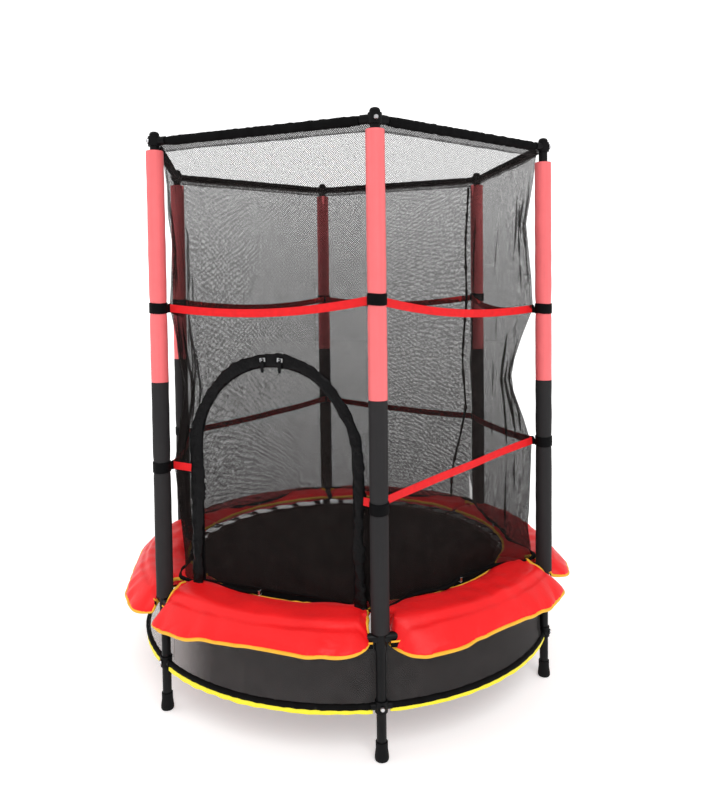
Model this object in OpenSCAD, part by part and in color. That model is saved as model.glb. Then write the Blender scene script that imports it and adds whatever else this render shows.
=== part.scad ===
// Six-pole children's trampoline with a net enclosure and a zipped net door.
// The origin is on the floor under the centre of the bed. +Z is up and the door faces -Y.

/* [Frame] */
// Radius of the circle that the six uprights stand on
pole_circle_r = 640; // [620:5:660]
// Height of the top of the posts above the floor
post_top_z = 1606; // [1500:2:1700]
// Height of the axis of the main frame ring
ring_z = 310; // [305:1:312]
// Height of the axis of the lower ring that the skirt hangs down to
lower_ring_z = 138; // [100:2:160]
// Outer diameter of the legs, the posts and the frame ring
tube_d = 25; // [22:1:25]
// Wall thickness of the steel tubes
tube_wall = 1.5; // [1:0.1:2]
// Outer diameter of the straight rods of the top ring
top_rod_d = 16; // [14:1:17]
// Outer diameter of the curved rods of the lower ring
lower_rod_d = 12; // [10:1:12]

/* [Foam sleeves] */
// Outer diameter of the foam sleeves on the posts
sleeve_d = 47; // [42:1:48]
// Distance from the top of the posts down to the upper sleeves
sleeve_top_gap = 52; // [46:1:150]

/* [Bed] */
// Radius of the jumping mat
mat_r = 506; // [500:2:554]
// Height of the middle of the jumping mat
mat_z = 318; // [314:0.5:318]
// Number of elastic loops that hold the mat in the frame ring
loop_count = 36; // [18:6:36]
// Radius of the inner edge of the pads
pad_inner_r = 502; // [480:2:508]
// Height of the flat top of the pads
pad_top_z = 350; // [346:1:350]
// Radius of the drooping outer corners of the pads
pad_outer_r = 714; // [700:1:720]
// Distance from the centre to the straight outer edge of a pad
pad_flat_d = 690; // [680:1:700]

/* [Enclosure] */
// Distance from the centre to each flat side of the net
net_d = 512; // [505:1:516]
// Height of the upper webbing strap
upper_strap_z = 1130; // [1080:5:1200]
// Height of the lower webbing strap
lower_strap_z = 690; // [640:5:740]
// Width of the webbing straps
strap_w = 22; // [18:1:28]

/* [Door] */
// Radius of the middle of the zip band round the top of the door
arch_r = 240; // [220:1:242]
// Height where the straight sides of the door meet its round top
arch_spring_z = 744; // [720:2:780]
// Sideways shift of the door from the middle of its side
door_x = 10; // [0:1:14]
// Height of the bottom edge of the door flap
door_bottom_z = 363; // [363:1:370]

/* [Hidden] */
SIDES = 6;
STEP = 360 / SIDES;
POSITIONS = ["front_right", "right", "back_right", "back_left", "left", "front_left"];
PANELS = ["front_right", "back_right", "back", "back_left", "front_left", "front"];

$fn = 48;
fit_gap = 0.2;
steel = "#1c1c1e";
plastic = "#141415";
coral = "#fc6c70";
charcoal = "#343436";
red = "#f5232b";
yellow = "#fbe83c";
mesh_grey = "#4a4a4c";
net_grey = "#6e6a69";
zinc = "#c8c8cc";

first_pole_angle = -60;
half_step = STEP / 2;
// Heights where the two foam sleeves of each post meet, as slid on by hand, from the front right
sleeve_joint_z = [900, 896, 940, 930, 930, 922];
sleeve_bottom_z = ring_z + 14;
// How far each upper sleeve has slid down its post, from the front right
sleeve_slip = [0, 18, -6, 0, 4, 0];

socket_d = 31;
socket_h = 44;
top_ring_z = post_top_z - 26;
cap_h = 12;
cap_stem_l = 10;
foot_h = 48;
foot_d = 36;
leg_bottom_z = 6;

top_body_d = 35;
top_body_h = 26;
top_arm_d = 23;
top_arm_l = 37;
low_body_d = 33;
low_body_h = 29;
low_arm_d = 18;
low_arm_l = 27;
boss_d = 15;
boss_out = 2;
screw_head_d = 12;
screw_head_h = 3.5;
screw_d = 5;
screw_l = 9;
screw_bore = screw_d + 0.4;
// Distance from the centre to the straight rods between the tops of the uprights
side_d = pole_circle_r * cos(half_step);

net_t = 1.6;
net_bottom_z = 361;
net_top_z = top_ring_z - 41;
// The net leans out above the upper strap, up to the top rods
lean_z = upper_strap_z + strap_w / 2 + 3;
net_top_d = side_d - 8;
hem_d = 22.5;
net_half_w = (net_d - net_t / 2) * tan(half_step) - 0.5;
net_top_half_w = pole_circle_r * sin(half_step) - sleeve_d / 2 - 4;
strap_t = 2;
strap_near = net_d + net_t / 2 + 0.4;
loop_h = 30;
loop_t = 2.2;

seam_gap = 2;
opening_r = arch_r - 4;
flap_r = opening_r - seam_gap;
border_w = 12;
border_t = 4;
band_out_r = arch_r + 22;
band_t = 6;
zip_face_d = net_d + net_t / 2 + band_t + 0.6;
slider_r = arch_r + 5;
slider_angle = 6;
slider_w = 10;
slider_l = 15;
slider_t = 6;
pull_l = 34;
pull_w = 9;
pull_t = 1.6;
pivot_d = 3;

mat_t = 3;
ring_loop_l = 9;
loop_w = 18;
skirt_t = 2;
strips_per_side = 3;
strip_step = STEP / strips_per_side;
skirt_r = (pole_circle_r - socket_d / 2 - 2) * cos(strip_step / 2);
binding_h = 14;
binding_t = 3;
skirt_hem_d = 20;
piping_h = 15;

function pole_angle(i) = first_pole_angle + i * STEP;
function panel_angle(i) = pole_angle(i) + half_step;

// Child placed at upright i, with +X pointing away from the centre
module at_pole(i) {
    rotate([0, 0, pole_angle(i)]) translate([pole_circle_r, 0, 0]) children();
}

// Child repeated at every upright
module at_poles() {
    for (i = [0:SIDES - 1]) at_pole(i) children();
}

// Child placed at the middle of side i, with +X pointing away from the centre
module at_side(i) {
    rotate([0, 0, panel_angle(i)]) children();
}

// Child placed so that its X and Y lie across and up the front side of the net
module on_door(depth) {
    translate([door_x, -depth, arch_spring_z]) rotate([90, 0, 0]) children();
}

module tube(d, wall, low, high) {
    translate([0, 0, low]) difference() {
        cylinder(d = d, h = high - low);
        translate([0, 0, -1]) cylinder(d = d - 2 * wall, h = high - low + 2);
    }
}

// Hole or shank along the radius at height z, reaching out to distance out from the upright
module radial_pin(z, d, inner, out) {
    translate([inner, 0, z]) rotate([0, 90, 0]) cylinder(d = d, h = out - inner);
}

module leg(i) {
    color(steel) at_pole(i) difference() {
        tube(tube_d, tube_wall, leg_bottom_z, ring_z - 1);
        radial_pin(lower_ring_z, screw_bore, 5, tube_d);
    }
}

module post(i) {
    color(steel) at_pole(i) difference() {
        tube(tube_d, tube_wall, ring_z + 1, post_top_z - cap_h);
        radial_pin(top_ring_z, screw_bore, 5, tube_d);
    }
}

module lower_sleeve(i) {
    color(charcoal) at_pole(i)
        tube(sleeve_d, (sleeve_d - tube_d) / 2 - fit_gap, sleeve_bottom_z, sleeve_joint_z[i]);
}

module upper_sleeve(i) {
    color(coral) at_pole(i)
        tube(sleeve_d, (sleeve_d - tube_d) / 2 - fit_gap, sleeve_joint_z[i] + 0.3,
            post_top_z - sleeve_top_gap - sleeve_slip[i]);
}

module rubber_feet() {
    outline = [
        [0, 0], [foot_d / 2 - 5, 0], [foot_d / 2 - 1.5, 1.5], [foot_d / 2, 5], [foot_d / 2, 12],
        [tube_d / 2 + 3, 30], [tube_d / 2 + 3, foot_h], [0, foot_h]
    ];
    color(plastic) at_poles() difference() {
        rotate_extrude() polygon(outline);
        translate([0, 0, leg_bottom_z - fit_gap]) cylinder(d = tube_d + fit_gap, h = foot_h);
    }
}

// Six curved tubes, each with the welded socket that joins a leg to a post
module frame_ring() {
    color(steel) difference() {
        union() {
            rotate_extrude($fn = 120) translate([pole_circle_r, ring_z]) circle(d = tube_d);
            at_poles() translate([0, 0, ring_z - socket_h * 0.7])
                cylinder(d = socket_d, h = socket_h * 0.97);
        }
        rotate_extrude($fn = 120) translate([pole_circle_r, ring_z]) circle(d = tube_d - 2 * tube_wall);
        at_poles() translate([0, 0, ring_z - socket_h])
            cylinder(d = tube_d + 2 * fit_gap, h = 2 * socket_h);
        for (i = [0:SIDES - 1]) at_side(i)
            translate([pole_circle_r - tube_d, -0.2, ring_z - tube_d]) cube([2 * tube_d, 0.4, 2 * tube_d]);
    }
}

// Curved rod of the lower ring on side i, between two connectors
module lower_arc(d, end_gap) {
    gap_angle = asin(end_gap / pole_circle_r);
    rotate([0, 0, gap_angle - half_step])
        rotate_extrude(angle = STEP - 2 * gap_angle, $fn = 120)
            translate([pole_circle_r, lower_ring_z]) circle(d = d);
}

module lower_rods() {
    end_gap = tube_d / 2 + 3.5;
    color(steel) for (i = [0:SIDES - 1]) at_side(i) difference() {
        lower_arc(lower_rod_d, end_gap);
        lower_arc(lower_rod_d - 2 * tube_wall, end_gap - 1);
    }
}

// T-shaped plastic fitting on an upright: a bored body, two bored arms and a boss for its screw
module connector(z, body_d, body_h, arm_d, arm_l, arm_bore, arm_angle) {
    color(plastic) difference() {
        union() {
            translate([0, 0, z - body_h / 2]) cylinder(d = body_d, h = body_h);
            for (s = [-1, 1]) rotate([0, 0, s * arm_angle]) translate([0, 0, z])
                rotate([-90 * s, 0, 0]) cylinder(d = arm_d, h = arm_l);
            radial_pin(z, boss_d, tube_d / 2 + 1, body_d / 2 + boss_out);
        }
        translate([0, 0, z - body_h]) cylinder(d = tube_d + 2 * fit_gap, h = 2 * body_h);
        for (s = [-1, 1]) rotate([0, 0, s * arm_angle]) translate([0, 0, z])
            rotate([-90 * s, 0, 0]) cylinder(d = arm_bore, h = arm_l + 5);
        radial_pin(z, screw_bore, 5, body_d);
    }
}

module lower_connectors() {
    at_poles() connector(lower_ring_z, low_body_d, low_body_h, low_arm_d, low_arm_l, lower_rod_d + 2, 0);
}

module top_connectors() {
    at_poles() connector(top_ring_z, top_body_d, top_body_h, top_arm_d, top_arm_l,
        top_rod_d + 2 * fit_gap, half_step);
}

// Straight round bar along side i at distance d from the centre, from -half_l to half_l
module side_bar(dist, z, d, half_l) {
    translate([dist, half_l, z]) rotate([90, 0, 0]) cylinder(d = d, h = 2 * half_l);
}

module top_rods() {
    half_l = pole_circle_r * sin(half_step) - tube_d / 2 - 4;
    color(steel) for (i = [0:SIDES - 1]) at_side(i) difference() {
        side_bar(side_d, top_ring_z, top_rod_d, half_l);
        side_bar(side_d, top_ring_z, top_rod_d - 2 * tube_wall, half_l + 1);
    }
}

// Domed plugs in the open tops of the posts
module post_caps() {
    dome = [[0, 0], [tube_d / 2 + 1, 0], [tube_d / 2 + 1, cap_h * 0.45], [tube_d / 2 - 2, cap_h * 0.85],
            [tube_d / 4, cap_h], [0, cap_h]];
    color(plastic) at_poles() translate([0, 0, post_top_z - cap_h]) {
        rotate_extrude() polygon(dome);
        translate([0, 0, -cap_stem_l])
            cylinder(d = tube_d - 2 * tube_wall - 2 * fit_gap, h = cap_stem_l + 0.5);
    }
}

// Pan-head screw along the radius, with its head outside face
module screw(z, face) {
    radial_pin(z, screw_d, face - screw_l, face + 1);
    translate([face + fit_gap, 0, z]) rotate([0, 90, 0]) cylinder(d1 = screw_head_d, d2 = screw_head_d - 3,
        h = screw_head_h);
}

module screws() {
    color(zinc) at_poles() {
        screw(top_ring_z, top_body_d / 2 + boss_out);
        screw(lower_ring_z, low_body_d / 2 + boss_out);
    }
}

// Pad on side i: flat over the ring, thinner at its inner edge, with an outer flap that droops
module pad(i) {
    outline = [
        [pad_inner_r, pad_top_z - 14], [pad_inner_r, pad_top_z - 4], [pad_inner_r + 40, pad_top_z],
        [pole_circle_r, pad_top_z], [pole_circle_r + 24, pad_top_z - 5],
        [pole_circle_r + 42, pad_top_z - 18], [pad_outer_r, pad_top_z - 66],
        [pad_outer_r - 10, pad_top_z - 78], [pole_circle_r + 28, pad_top_z - 30],
        [pole_circle_r + 15, pad_top_z - 24], [pad_inner_r + 58, pad_top_z - 24]
    ];
    side_gap = 3;
    notch_half_w = sleeve_d / 2 + 3;
    notch_r = pole_circle_r - notch_half_w;
    color(red) intersection() {
        difference() {
            rotate([0, 0, pole_angle(i)]) rotate_extrude(angle = STEP, $fn = 120) polygon(outline);
            for (k = [i, i + 1]) rotate([0, 0, pole_angle(k)]) {
                translate([0, -side_gap, 0]) cube([pad_outer_r, 2 * side_gap, 2 * pad_top_z]);
                translate([notch_r, -notch_half_w, 0]) cube([pad_outer_r, 2 * notch_half_w, 2 * pad_top_z]);
            }
        }
        at_side(i) translate([0, -pad_outer_r, 0]) cube([pad_flat_d, 2 * pad_outer_r, 2 * pad_top_z]);
    }
}

// Upright strip along a side of the net, between two distances from the centre
module side_strip(near, far, half_w, low, high) {
    translate([near, -half_w, low]) cube([far - near, 2 * half_w, high - low]);
}

module net_side() {
    near = net_d - net_t / 2;
    near_top = net_top_d - net_t / 2;
    side_strip(near, near + net_t, net_half_w, net_bottom_z, lean_z + 0.2);
    hull() {
        side_strip(near, near + net_t, net_half_w, lean_z, lean_z + 0.2);
        side_strip(near_top, near_top + net_t, net_top_half_w, net_top_z - 0.2, net_top_z);
    }
}

// Outline of the door seen from outside: straight sides and a round top, grown to radius r
module arch(r, low) {
    circle(r = r, $fn = 96);
    translate([-r, low - arch_spring_z]) square([2 * r, arch_spring_z - low]);
}

module net(i) {
    color(net_grey) if (i < SIDES - 1) at_side(i) net_side();
    else difference() {
        at_side(i) net_side();
        on_door(net_d - 10) linear_extrude(20) arch(opening_r, net_bottom_z - 5);
    }
}

// Fabric sleeve round each top rod and the doubled band of net below it
module net_top_hem() {
    half_l = pole_circle_r * sin(half_step) - top_arm_l - 3;
    low = top_ring_z - hem_d / 2;
    band = [[side_d - 2, low + 0.5], [side_d + 1.5, low + 0.5], [net_top_d + 1.5, net_top_z + 0.3],
            [net_top_d - 2, net_top_z + 0.3]];
    color(plastic) for (i = [0:SIDES - 1]) at_side(i) difference() {
        union() {
            side_bar(side_d, top_ring_z, hem_d, half_l);
            translate([0, half_l - 12, 0]) rotate([90, 0, 0]) linear_extrude(2 * half_l - 24) polygon(band);
        }
        side_bar(side_d, top_ring_z, top_rod_d + 0.6, half_l + 1);
    }
}

// Corded hem of the net, lying on the pads
module net_bottom_hem() {
    hem_r = 4;
    color(plastic) for (i = [0:SIDES - 1]) at_side(i)
        side_bar(net_d, net_bottom_z - hem_r - 1, 2 * hem_r, net_half_w - 3);
}

module strap_side(z) {
    side_strip(strap_near, strap_near + strap_t, net_half_w + 0.6, z - strap_w / 2, z + strap_w / 2);
}

module upper_strap() {
    color(red) for (i = [0:SIDES - 1]) at_side(i) strap_side(upper_strap_z);
}

// The lower strap stops at the door
module lower_strap() {
    color(red) difference() {
        for (i = [0:SIDES - 1]) at_side(i) strap_side(lower_strap_z);
        on_door(net_d - 10) linear_extrude(20) square([2 * band_out_r + 2, 400], center = true);
    }
}

// Loops of webbing that hold the straps to the sleeves, each with a tab to the net's corner
module strap_loops() {
    tab_end = (strap_near + strap_t) / cos(half_step) + 1.5;
    loop_r = sleeve_d / 2 + 0.3;
    color(plastic) at_poles() for (z = [upper_strap_z, lower_strap_z]) {
        tube(2 * (loop_r + loop_t), loop_t, z - loop_h / 2, z + loop_h / 2);
        translate([tab_end - pole_circle_r, -1.5, z - strap_w / 2])
            cube([pole_circle_r - tab_end - loop_r - loop_t / 2, 3, strap_w]);
    }
}

// Mesh skirt inside the legs, from the frame ring to the lower ring, as flat strips
module skirt() {
    half_w = skirt_r * tan(strip_step / 2) - 0.5;
    color(mesh_grey) for (k = [0:SIDES * strips_per_side - 1])
        rotate([0, 0, first_pole_angle + (k + 0.5) * strip_step])
            side_strip(skirt_r - skirt_t, skirt_r, half_w, lower_ring_z + 14, ring_z - tube_d / 2 - 3);
}

// Bottom hem round the lower rods with the piping below it, and the binding outside the frame ring
module skirt_trim() {
    binding_r = pole_circle_r + socket_d / 2 + 1;
    hem_gap = asin((low_arm_l + 1) / pole_circle_r);
    color(yellow) {
        for (i = [0:SIDES - 1]) at_side(i) {
            difference() {
                lower_arc(skirt_hem_d, low_arm_l + 1);
                lower_arc(lower_rod_d + 0.6, low_arm_l);
            }
            rotate([0, 0, hem_gap - half_step]) rotate_extrude(angle = STEP - 2 * hem_gap, $fn = 120)
                translate([pole_circle_r - 1.5, lower_ring_z - skirt_hem_d / 2 - piping_h])
                    square([3, piping_h + 1]);
        }
        rotate_extrude($fn = 120) translate([binding_r, ring_z - binding_h - 2])
            square([binding_t, binding_h]);
    }
}

// Woven mat with its stitched border
module jumping_mat() {
    color(plastic) rotate_extrude($fn = 120) polygon([
        [0, mat_z - mat_t / 2], [mat_r - 14, mat_z - mat_t / 2], [mat_r - 14, mat_z - mat_t / 2 - 1],
        [mat_r, mat_z - mat_t / 2 - 1], [mat_r, mat_z + mat_t / 2 + 0.5],
        [mat_r - 14, mat_z + mat_t / 2 + 0.5], [mat_r - 14, mat_z + mat_t / 2], [0, mat_z + mat_t / 2]
    ]);
}

// Child repeated at every elastic loop, with +X pointing away from the centre
module at_loops() {
    for (k = [0:loop_count - 1]) rotate([0, 0, first_pole_angle + (k + 0.5) * 360 / loop_count]) children();
}

// Triangular wire rings sewn to the edge of the mat
module mat_rings() {
    inner = mat_r + 0.3;
    color(zinc) at_loops() translate([0, 0, mat_z - 1]) linear_extrude(2) difference() {
        polygon([[inner, -4], [inner + ring_loop_l, -loop_w / 2 - 2], [inner + ring_loop_l, loop_w / 2 + 2],
                 [inner, 4]]);
        polygon([[inner + 2, -3.2], [inner + ring_loop_l - 2.2, -loop_w / 2],
                 [inner + ring_loop_l - 2.2, loop_w / 2], [inner + 2, 3.2]]);
    }
}

// Flat elastic loops from the mat's rings to the inside of the frame ring
module elastic_loops() {
    near = mat_r + ring_loop_l + 0.8;
    far = pole_circle_r - sqrt(pow(tube_d / 2, 2) - pow(mat_z - 1.5 - ring_z, 2)) - 1;
    color(plastic) at_loops() side_strip(near, far, loop_w / 2, mat_z - 1.5, mat_z + 1.5);
}

// Net flap that fills the door, with its half of the zip as a thicker border
module door_net() {
    color(net_grey) {
        on_door(net_d - net_t / 2) linear_extrude(net_t) arch(flap_r, door_bottom_z);
        on_door(net_d - net_t / 2) linear_extrude(border_t) difference() {
            arch(flap_r, door_bottom_z);
            arch(flap_r - border_w, door_bottom_z - 1);
        }
    }
}

// Padded cover of the zip, sewn to the net round the door opening
module door_zip() {
    color(plastic) on_door(net_d + net_t / 2 + 0.3) linear_extrude(band_t) difference() {
        arch(band_out_r, net_bottom_z);
        arch(opening_r, net_bottom_z - 1);
    }
}

// Slider at its closed end by the top of the door, on the side given by s
module zip_slider(s) {
    color(zinc) on_door(zip_face_d) rotate([0, 0, -s * slider_angle]) translate([0, slider_r, 0]) {
        translate([-slider_l / 2, -slider_w / 2, 0]) cube([slider_l, slider_w, slider_t - 2]);
        translate([0, 0, 1]) cylinder(d = pivot_d, h = slider_t + 1, $fn = 24);
    }
}

// Pull tab hanging from the pivot of its slider
module zip_pull(s) {
    depth = zip_face_d + slider_t - 2 + 0.3;
    px = slider_r * sin(s * slider_angle);
    py = slider_r * cos(slider_angle);
    color(plastic) on_door(depth) translate([px, py, 0]) linear_extrude(pull_t) difference() {
        union() {
            circle(d = pull_w);
            translate([-pull_w / 2, -pull_l]) square([pull_w, pull_l]);
        }
        circle(d = pivot_d + 0.4, $fn = 24);
    }
}

for (i = [0:SIDES - 1]) {
    leg(i);
    post(i);
    lower_sleeve(i);
    upper_sleeve(i);
    pad(i);
    net(i);
}
rubber_feet();
frame_ring();
lower_rods();
lower_connectors();
top_rods();
top_connectors();
post_caps();
screws();
net_top_hem();
net_bottom_hem();
upper_strap();
lower_strap();
strap_loops();
skirt();
skirt_trim();
jumping_mat();
mat_rings();
elastic_loops();
door_net();
door_zip();
zip_slider(-1);  // zip_slider_left
zip_slider(1);  // zip_slider_right
zip_pull(-1);  // zip_pull_left
zip_pull(1);  // zip_pull_right
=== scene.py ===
import math

import bpy
import numpy as np
from mathutils import Matrix, Vector


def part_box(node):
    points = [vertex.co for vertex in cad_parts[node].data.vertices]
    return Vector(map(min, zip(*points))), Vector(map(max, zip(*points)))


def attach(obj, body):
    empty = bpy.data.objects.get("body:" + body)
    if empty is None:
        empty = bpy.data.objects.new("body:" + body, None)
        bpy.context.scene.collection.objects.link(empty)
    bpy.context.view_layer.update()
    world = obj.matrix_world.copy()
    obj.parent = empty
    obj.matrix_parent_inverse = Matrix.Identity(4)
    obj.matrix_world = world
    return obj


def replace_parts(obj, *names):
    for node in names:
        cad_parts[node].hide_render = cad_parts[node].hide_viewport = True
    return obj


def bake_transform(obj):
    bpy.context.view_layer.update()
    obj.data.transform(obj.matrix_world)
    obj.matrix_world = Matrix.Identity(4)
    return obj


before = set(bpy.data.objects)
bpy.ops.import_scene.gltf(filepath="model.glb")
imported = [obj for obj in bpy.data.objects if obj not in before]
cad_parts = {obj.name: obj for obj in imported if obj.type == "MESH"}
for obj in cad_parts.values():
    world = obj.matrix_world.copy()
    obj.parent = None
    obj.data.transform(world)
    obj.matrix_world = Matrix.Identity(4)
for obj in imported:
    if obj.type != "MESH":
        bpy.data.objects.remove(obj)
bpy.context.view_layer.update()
scene = bpy.context.scene

# -------- places, all from the CAD parts in model.glb

POLES = {"front_right": -60, "right": 0, "back_right": 60, "back_left": 120, "left": 180, "front_left": 240}
PANELS = {"front_right": -30, "back_right": 30, "back": 90, "back_left": 150, "front_left": 210, "front": 270}
HALF = 30.0  # degrees from the middle of a side to an upright
COS_HALF, SIN_HALF, TAN_HALF = (f(math.radians(HALF)) for f in (math.cos, math.sin, math.tan))


def low(node):
    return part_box(node)[0]


def high(node):
    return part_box(node)[1]


def middle(node):
    return (low(node) + high(node)) / 2


POLE_R = middle("leg_right").x
TUBE_R = (high("leg_right").x - low("leg_right").x) / 2
RING_Z = high("leg_right").z + 0.001
HOOP_Z = middle("lower_connectors").z
TOP_Z = middle("top_rods").z
TOP_D = high("top_rods").y - 0.008
MAT_Z = middle("jumping_mat").z
MAT_R = high("jumping_mat").x
PAD_R = low("pad_back").y / COS_HALF
PAD_Z = high("pad_back").z
PAD_FLAT = high("pad_back").y
PAD_CORNER = high("pad_back_right").x
NET_D = 0.0008 - high("door_net").y
NET_LOW = low("net_back").z
NET_HIGH = high("net_back").z
NET_TOP_D = high("net_back").y - 0.0008
STRAP_Z = middle("upper_strap").z
LOW_STRAP_Z = middle("lower_strap").z
STRAP_W = high("upper_strap").z - low("upper_strap").z
SLEEVE_R = (high("upper_sleeve_right").x - low("upper_sleeve_right").x) / 2
DOOR_X = middle("door_zip").x
ZIP_HALF = 0.022  # half the width of the zip's cover
ARCH_R = (high("door_zip").x - low("door_zip").x) / 2 - ZIP_HALF
ARCH_Z = high("door_zip").z - ARCH_R - ZIP_HALF
ZIP_FACE = -low("door_zip").y
LEAN_Z = STRAP_Z + STRAP_W / 2 + 0.003


# -------- camera and light

def make_camera():
    data = bpy.data.cameras.new("camera")
    data.lens = 33.37
    data.sensor_width = 36
    data.shift_y = -0.0975
    data.clip_start = 0.05
    camera = bpy.data.objects.new("camera", data)
    scene.collection.objects.link(camera)
    heading, pitch, roll = (math.radians(x) for x in (-22.07, -2.43, -0.72))
    level = math.cos(pitch)
    ahead = Vector((math.sin(heading) * level, math.cos(heading) * level, math.sin(pitch)))
    right = ahead.cross(Vector((0, 0, 1))).normalized()
    up = right.cross(ahead)
    tilted_right = math.cos(roll) * right + math.sin(roll) * up
    tilted_up = math.cos(roll) * up - math.sin(roll) * right
    turned = Matrix((tilted_right, tilted_up, -ahead)).transposed().to_4x4()
    camera.matrix_world = Matrix.Translation((0.9405, -2.2435, 1.168)) @ turned
    scene.camera = camera


def soft_sun(name, direction, spread, power):
    data = bpy.data.lights.new(name, "SUN")
    data.energy = power
    data.angle = math.radians(spread)
    light = bpy.data.objects.new(name, data)
    scene.collection.objects.link(light)
    light.rotation_mode = "QUATERNION"
    light.rotation_quaternion = Vector(direction).to_track_quat("Z", "Y")


def make_studio():
    scene.view_settings.view_transform = "Standard"
    world = bpy.data.worlds.new("studio")
    world.use_nodes = True
    tree = world.node_tree
    ambient, seen = tree.nodes["Background"], tree.nodes.new("ShaderNodeBackground")
    for node, color, strength in ((ambient, (1.0, 0.995, 0.99, 1), 0.72), (seen, (1, 1, 1, 1), 1.33)):
        node.inputs["Color"].default_value = color
        node.inputs["Strength"].default_value = strength
    path = tree.nodes.new("ShaderNodeLightPath")
    mix = tree.nodes.new("ShaderNodeMixShader")
    tree.links.new(path.outputs["Is Camera Ray"], mix.inputs[0])
    tree.links.new(ambient.outputs[0], mix.inputs[1])
    tree.links.new(seen.outputs[0], mix.inputs[2])
    tree.links.new(mix.outputs[0], tree.nodes["World Output"].inputs["Surface"])
    scene.world = world
    soft_sun("key", (1.3, -1.9, 2.6), 35, 1.15)
    soft_sun("fill", (-2.4, -0.8, 1.9), 60, 0.35)


make_camera()
make_studio()


# -------- materials

class Look:
    """A Principled material under construction."""

    def __init__(self, name, color, roughness, **sockets):
        self.material = bpy.data.materials.new(name)
        self.material.use_nodes = True
        self.tree = self.material.node_tree
        self.shader = self.tree.nodes["Principled BSDF"]
        self.color = (*color, 1.0)
        self.shader.inputs["Base Color"].default_value = self.color
        self.shader.inputs["Roughness"].default_value = roughness
        for socket, value in sockets.items():
            self.shader.inputs[socket.replace("_", " ")].default_value = value
        self.last_normal = None

    def node(self, kind, settings=None, **sockets):
        made = self.tree.nodes.new("ShaderNode" + kind)
        for key, value in (settings or {}).items():
            setattr(made, key, value)
        for socket, value in sockets.items():
            self.feed(made.inputs[socket.replace("_", " ")], value)
        return made

    def feed(self, socket, value):
        if hasattr(value, "is_output"):
            self.tree.links.new(value, socket)
        else:
            socket.default_value = value

    def math(self, operation, a, b=0.0):
        made = self.node("Math", {"operation": operation})
        self.feed(made.inputs[0], a)
        self.feed(made.inputs[1], b)
        return made.outputs[0]

    def place(self, kind="Object"):
        return self.node("TexCoord").outputs[kind]

    def scaled(self, vector, scale):
        return self.node("Mapping", Vector=vector, Scale=scale).outputs[0]

    def split(self, vector):
        return self.node("SeparateXYZ", Vector=vector).outputs

    def noise(self, vector, scale, detail=3.0, roughness=0.5):
        made = self.node("TexNoise", Vector=vector, Scale=scale, Detail=detail, Roughness=roughness)
        return made.outputs["Fac"]

    def cells(self, vector, scale):
        return self.node("TexVoronoi", Vector=vector, Scale=scale).outputs["Distance"]

    def ramp(self, value, stops):
        """stops are (place, grey) or (place, (r, g, b))."""
        made = self.node("ValToRGB", Fac=value)
        points = made.color_ramp.elements
        while len(points) < len(stops):
            points.new(0.5)
        for point, (place, tint) in zip(points, stops):
            point.position = place
            point.color = (*tint, 1) if hasattr(tint, "__len__") else (tint, tint, tint, 1)
        return made.outputs["Color"]

    def tint(self, value, dark, light):
        """Base colour goes between dark and light times the material's colour as value goes 0 to 1."""
        stops = [(place, tuple(min(1.0, c * share) for c in self.color[:3]))
                 for place, share in ((0.25, dark), (0.75, light))]
        self.feed(self.shader.inputs["Base Color"], self.ramp(value, stops))

    def bump(self, height, distance, strength=1.0):
        made = self.node("Bump", Strength=strength, Distance=distance, Height=height)
        if self.last_normal:
            self.tree.links.new(self.last_normal, made.inputs["Normal"])
        self.last_normal = made.outputs[0]
        self.tree.links.new(self.last_normal, self.shader.inputs["Normal"])


def stripe(look, value, pitch):
    """0 at the middle of each stripe of the given pitch to 1 at its edges."""
    return look.math("PINGPONG", look.math("DIVIDE", value, pitch / 2), 1.0)


def steel_look():
    look = Look("black_steel", (0.006, 0.006, 0.0065), 0.33, Specular_IOR_Level=0.12)
    place = look.place()
    look.tint(look.noise(place, 18, 4), 0.7, 1.5)
    wear = look.ramp(look.noise(place, 40, 4), [(0.3, 0.26), (0.7, 0.46)])
    look.feed(look.shader.inputs["Roughness"], wear)
    look.bump(look.noise(place, 900, 2), 0.00008, 0.5)
    return look.material


def plastic_look(name, color, roughness, grain=1400):
    look = Look(name, color, roughness, Specular_IOR_Level=0.09)
    place = look.place()
    look.tint(look.noise(place, 30, 3), 0.75, 1.4)
    look.bump(look.noise(place, grain, 2), 0.00012, 0.6)
    return look.material


def zinc_look():
    look = Look("zinc", (0.62, 0.62, 0.64), 0.3, Metallic=1.0)
    place = look.place()
    look.tint(look.noise(look.scaled(place, (60, 60, 900)), 1.0, 3), 0.8, 1.15)
    look.bump(look.noise(look.scaled(place, (200, 200, 2000)), 1.0, 2), 0.00005, 0.5)
    return look.material


def foam_look(name, color, glow, roughness, shine):
    """Cut foam tube: closed pores, slight dents, and a faint sheen, partly from its shine and partly painted
    sheen as lighter vertical streaks in its colour.
    """
    look = Look(name, color, roughness, Specular_IOR_Level=shine)
    place = look.place()
    # painted sheen: lighter vertical streaks in the colour stand in for the sheen along the tube; the finer
    # noise is random tone
    painted_sheen_streaks = look.noise(look.scaled(place, (90, 90, 3)), 1.0, 3, 0.6)
    look.tint(look.math("ADD", look.math("MULTIPLY", painted_sheen_streaks, 0.6),
                        look.math("MULTIPLY", look.noise(place, 22, 4, 0.6), 0.4)), 0.84, glow)
    look.bump(look.noise(place, 60, 3), 0.0012, 0.35)
    look.bump(look.cells(place, 420), 0.0005, 0.5)
    return look.material


def cover_look():
    """Red coated fabric of the pads, with its fine weave and creases."""
    look = Look("red_cover", (0.93, 0.012, 0.014), 0.4, Specular_IOR_Level=0.26)
    place = look.place()
    look.tint(look.noise(place, 9, 5, 0.6), 0.90, 1.06)
    look.bump(look.noise(place, 26, 4, 0.6), 0.004, 0.35)
    look.bump(look.noise(place, 110, 3), 0.0008, 0.4)
    look.bump(look.cells(place, 700), 0.00025, 0.5)
    return look.material


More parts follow.
